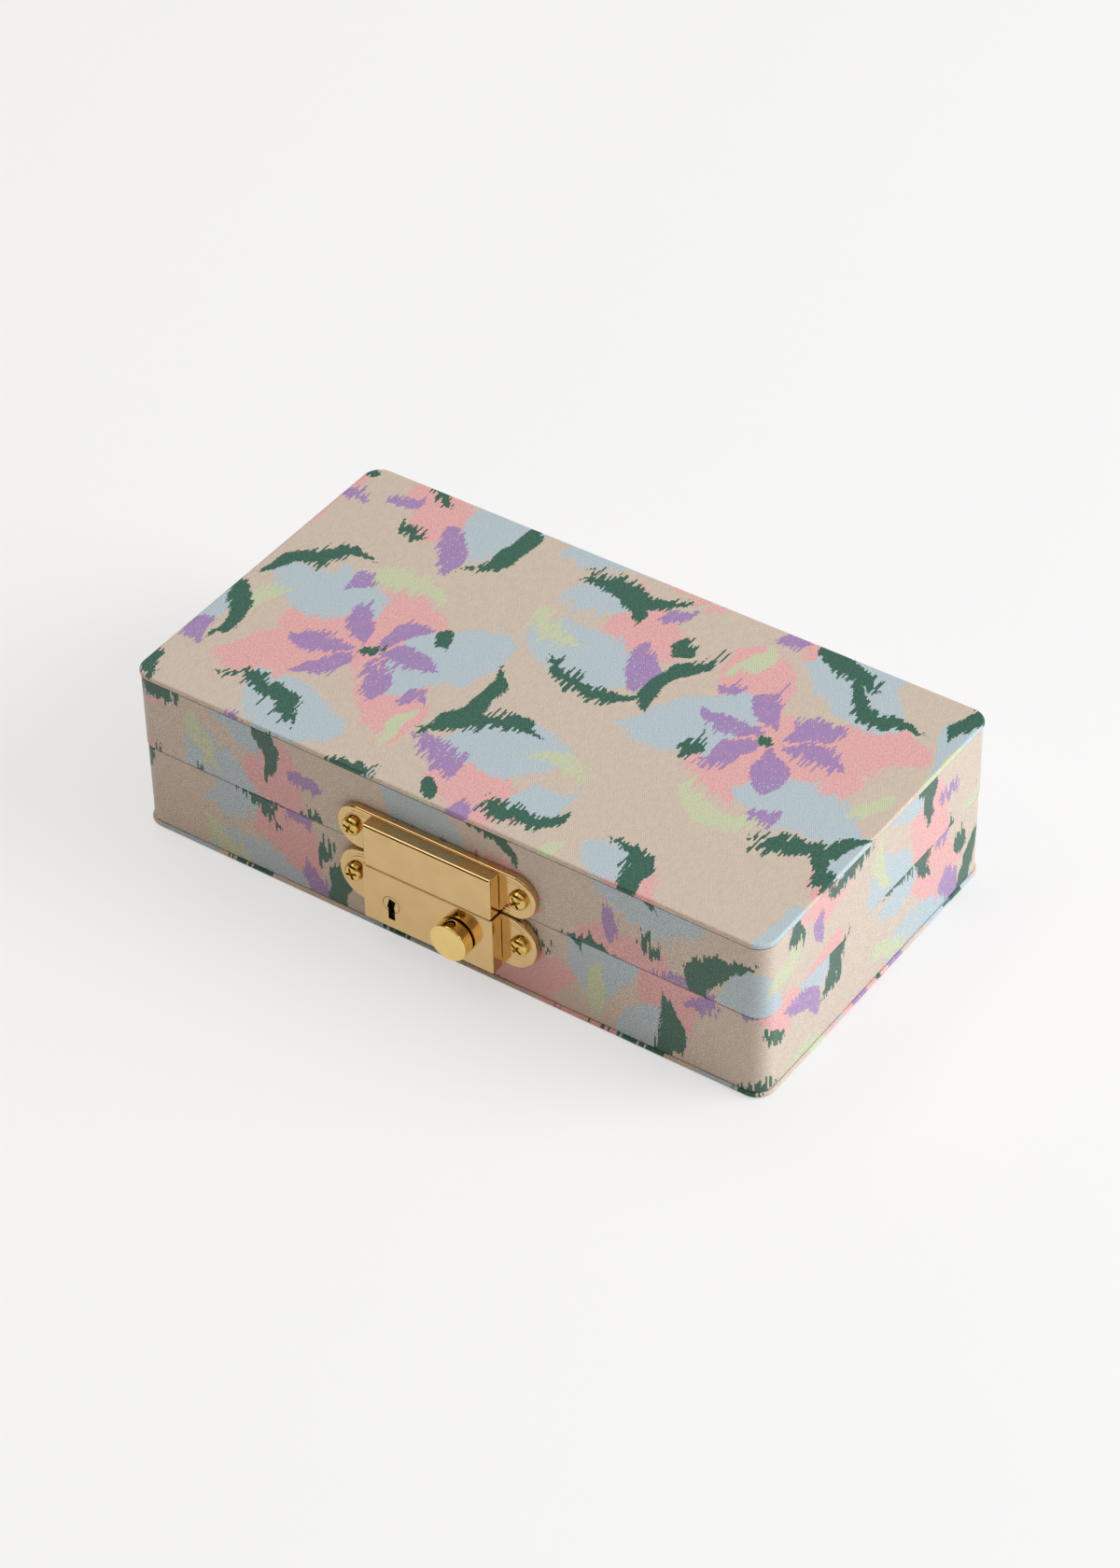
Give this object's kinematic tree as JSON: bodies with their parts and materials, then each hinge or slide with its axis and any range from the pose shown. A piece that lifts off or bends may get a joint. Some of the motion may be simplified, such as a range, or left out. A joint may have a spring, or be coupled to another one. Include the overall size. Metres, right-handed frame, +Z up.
{
  "type": "fabric-covered jewelry box",
  "caption": "Rectangular keepsake box covered in woven fabric, with a hinged lid, a velvet-lined tray and a two-part sliding lock.",
  "frame": {"origin": "middle of the box's underside, which rests on the table", "axes": "+X along the length to the right, -Y out of the front with the lock, +Z up"},
  "size_m": [0.2208, 0.1403, 0.0581],
  "materials": {
    "fabric": "woven jacquard with a fine twill rib and a soft lustre",
    "greyboard": "bare dense board",
    "velvet": "short-pile velvet",
    "polished_gold": "polished pale gold plating on a casting",
    "steel": "plain stamped steel",
    "brass": "polished brass"
  },
  "bodies": {
    "box_base": {"base_board_cover": "fabric", "base_cover": "fabric", "base_board": "greyboard", "base_front_wall": "greyboard", "base_back_wall": "greyboard", "base_left_wall": "greyboard", "base_right_wall": "greyboard", "base_lining": "velvet", "base_floor_pad": "velvet", "divider_main": "velvet", "divider_long": "velvet", "divider_short": "velvet", "ring_roll_1": "velvet", "ring_roll_2": "velvet", "ring_roll_3": "velvet", "ring_roll_4": "velvet", "ring_roll_5": "velvet", "ring_roll_6": "velvet", "lower_plate": "polished_gold", "lock_case": "polished_gold", "lower_plate_left_screw": "polished_gold", "lower_plate_right_screw": "polished_gold", "detent_spring": "steel", "left_hinge_pin": "steel", "right_hinge_pin": "steel", "left_hinge_base_leaf": "brass", "right_hinge_base_leaf": "brass", "left_hinge_base_screw_1": "brass", "left_hinge_base_screw_2": "brass", "right_hinge_base_screw_1": "brass", "right_hinge_base_screw_2": "brass"},
    "box_lid": {"lid_board_cover": "fabric", "lid_cover": "fabric", "lid_board": "greyboard", "lid_front_wall": "greyboard", "lid_back_wall": "greyboard", "lid_left_wall": "greyboard", "lid_right_wall": "greyboard", "lid_lining": "velvet", "lid_pad": "velvet", "upper_plate": "polished_gold", "upper_block": "polished_gold", "upper_plate_left_screw": "polished_gold", "upper_plate_right_screw": "polished_gold", "catch_tongue": "steel", "left_hinge_lid_leaf": "brass", "right_hinge_lid_leaf": "brass", "left_hinge_lid_screw_1": "brass", "left_hinge_lid_screw_2": "brass", "right_hinge_lid_screw_1": "brass", "right_hinge_lid_screw_2": "brass"},
    "lock_slide": {"lock_bolt": "steel", "lock_knob": "polished_gold", "knob_set_screw": "polished_gold"},
    "key_barrel": {"key_plug": "polished_gold"}
  },
  "joints": [
    {"name": "lid_hinge", "type": "hinge", "parent": "box_base", "child": "box_lid", "pos_m": [0, 0.0624, 0.0302], "axis": [-1, 0, 0], "range_deg": [0, 95]},
    {"name": "knob_slide", "type": "slide", "parent": "box_base", "child": "lock_slide", "axis": [1, 0, 0], "range_m": [0, 0.0044]},
    {"name": "key_turn", "type": "hinge", "parent": "box_base", "child": "key_barrel", "pos_m": [-0.0129, -0.0602, 0.019], "axis": [0, 1, 0], "range_deg": [-15, 75]}
  ]
}
